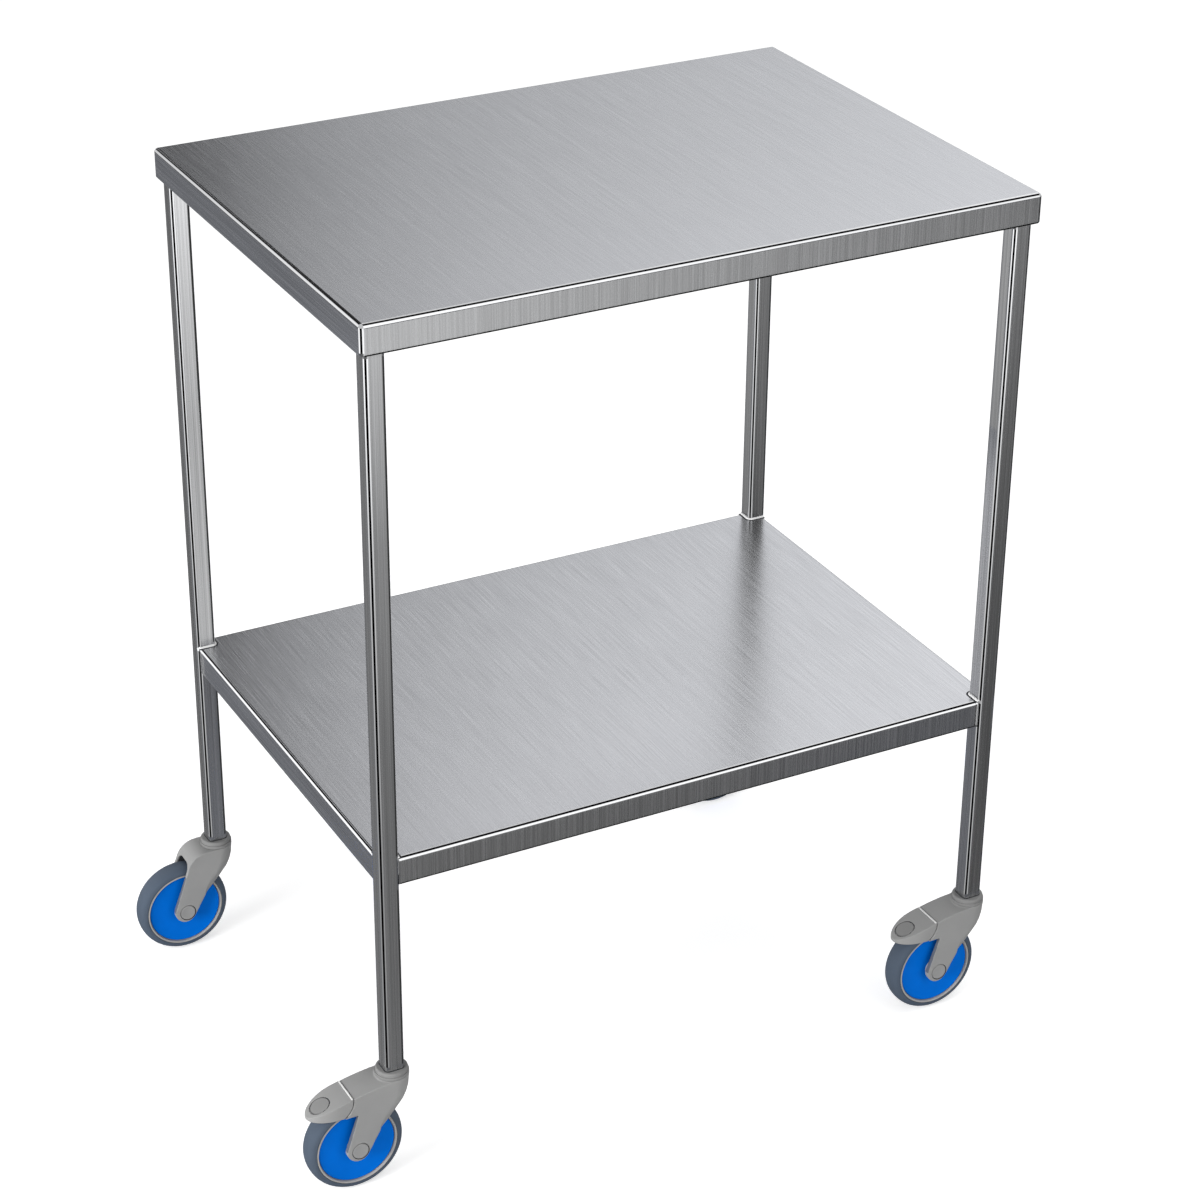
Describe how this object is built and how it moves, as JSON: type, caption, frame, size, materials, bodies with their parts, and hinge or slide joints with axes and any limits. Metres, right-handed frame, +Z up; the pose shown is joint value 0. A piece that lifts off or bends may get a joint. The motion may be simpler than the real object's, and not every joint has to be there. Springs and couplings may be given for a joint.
{
  "type": "dressing trolley",
  "caption": "Stainless dressing trolley: folded sheet worktop and lower shelf on square tube legs with swivelling castors, the front castors with foot brakes.",
  "frame": {"origin": "centre of the whole footprint on the floor, castors included", "axes": "+X along the long side, away from the trailing castors; -Y is the front with the braked castors; +Z up"},
  "size_m": [0.769, 0.5, 0.9],
  "materials": {
    "steel_sheet": "brushed along the depth",
    "steel_tube": "brushed along the tube",
    "steel_bare": "plain, satin",
    "castor_grey": "fine matt moulding",
    "rim_grey": "satin moulding",
    "wheel_blue": "satin, bright blue",
    "tyre_grey": "smooth non-marking rubber",
    "brake_rubber": "matt"
  },
  "bodies": {
    "frame": {"worktop": "steel_sheet", "worktop_stiffener": "steel_bare", "shelf": "steel_sheet", "shelf_stiffener": "steel_bare", "leg_fl": "steel_tube", "leg_fr": "steel_tube", "leg_bl": "steel_tube", "leg_br": "steel_tube", "socket_fl": "castor_grey", "socket_fr": "castor_grey", "socket_bl": "castor_grey", "socket_br": "castor_grey", "stem_fl": "steel_bare", "stem_fr": "steel_bare", "stem_bl": "steel_bare", "stem_br": "steel_bare"},
    "castor_fl": {"swivel_bearing_fl": "steel_bare", "housing_fl": "castor_grey", "axle_fl": "steel_bare", "axle_caps_fl": "castor_grey", "pedal_pins_fl": "steel_bare", "brake_spring_fl": "steel_bare"},
    "wheel_fl": {"tyre_fl": "tyre_grey", "wheel_centre_fl": "rim_grey", "wheel_discs_fl": "wheel_blue", "wheel_bearings_fl": "steel_bare"},
    "castor_fr": {"swivel_bearing_fr": "steel_bare", "housing_fr": "castor_grey", "axle_fr": "steel_bare", "axle_caps_fr": "castor_grey", "pedal_pins_fr": "steel_bare", "brake_spring_fr": "steel_bare"},
    "wheel_fr": {"tyre_fr": "tyre_grey", "wheel_centre_fr": "rim_grey", "wheel_discs_fr": "wheel_blue", "wheel_bearings_fr": "steel_bare"},
    "castor_bl": {"swivel_bearing_bl": "steel_bare", "housing_bl": "castor_grey", "axle_bl": "steel_bare", "axle_caps_bl": "castor_grey"},
    "wheel_bl": {"tyre_bl": "tyre_grey", "wheel_centre_bl": "rim_grey", "wheel_discs_bl": "wheel_blue", "wheel_bearings_bl": "steel_bare"},
    "castor_br": {"swivel_bearing_br": "steel_bare", "housing_br": "castor_grey", "axle_br": "steel_bare", "axle_caps_br": "castor_grey"},
    "wheel_br": {"tyre_br": "tyre_grey", "wheel_centre_br": "rim_grey", "wheel_discs_br": "wheel_blue", "wheel_bearings_br": "steel_bare"},
    "pedal_fl": {"pedal_fl": "castor_grey", "brake_shoe_fl": "brake_rubber"},
    "pedal_fr": {"pedal_fr": "castor_grey", "brake_shoe_fr": "brake_rubber"}
  },
  "joints": [
    {"name": "swivel_fl", "type": "hinge", "parent": "frame", "child": "castor_fl", "pos_m": [-0.2915, -0.2295, 0.117], "axis": [0, 0, 1], "continuous": true},
    {"name": "roll_fl", "type": "hinge", "parent": "castor_fl", "child": "wheel_fl", "pos_m": [-0.3345, -0.2295, 0.05], "axis": [0, 1, 0], "continuous": true},
    {"name": "swivel_fr", "type": "hinge", "parent": "frame", "child": "castor_fr", "pos_m": [0.3675, -0.2295, 0.117], "axis": [0, 0, 1], "continuous": true},
    {"name": "roll_fr", "type": "hinge", "parent": "castor_fr", "child": "wheel_fr", "pos_m": [0.3245, -0.2295, 0.05], "axis": [0, 1, 0], "continuous": true},
    {"name": "swivel_bl", "type": "hinge", "parent": "frame", "child": "castor_bl", "pos_m": [-0.2915, 0.2295, 0.117], "axis": [0, 0, 1], "continuous": true},
    {"name": "roll_bl", "type": "hinge", "parent": "castor_bl", "child": "wheel_bl", "pos_m": [-0.3345, 0.2295, 0.05], "axis": [0, 1, 0], "continuous": true},
    {"name": "swivel_br", "type": "hinge", "parent": "frame", "child": "castor_br", "pos_m": [0.3675, 0.2295, 0.117], "axis": [0, 0, 1], "continuous": true},
    {"name": "roll_br", "type": "hinge", "parent": "castor_br", "child": "wheel_br", "pos_m": [0.3245, 0.2295, 0.05], "axis": [0, 1, 0], "continuous": true},
    {"name": "brake_fl", "type": "hinge", "parent": "castor_fl", "child": "pedal_fl", "pos_m": [-0.3555, -0.2295, 0.0985], "axis": [0, -1, 0], "range_deg": [0, 8]},
    {"name": "brake_fr", "type": "hinge", "parent": "castor_fr", "child": "pedal_fr", "pos_m": [0.3035, -0.2295, 0.0985], "axis": [0, -1, 0], "range_deg": [0, 8]}
  ]
}
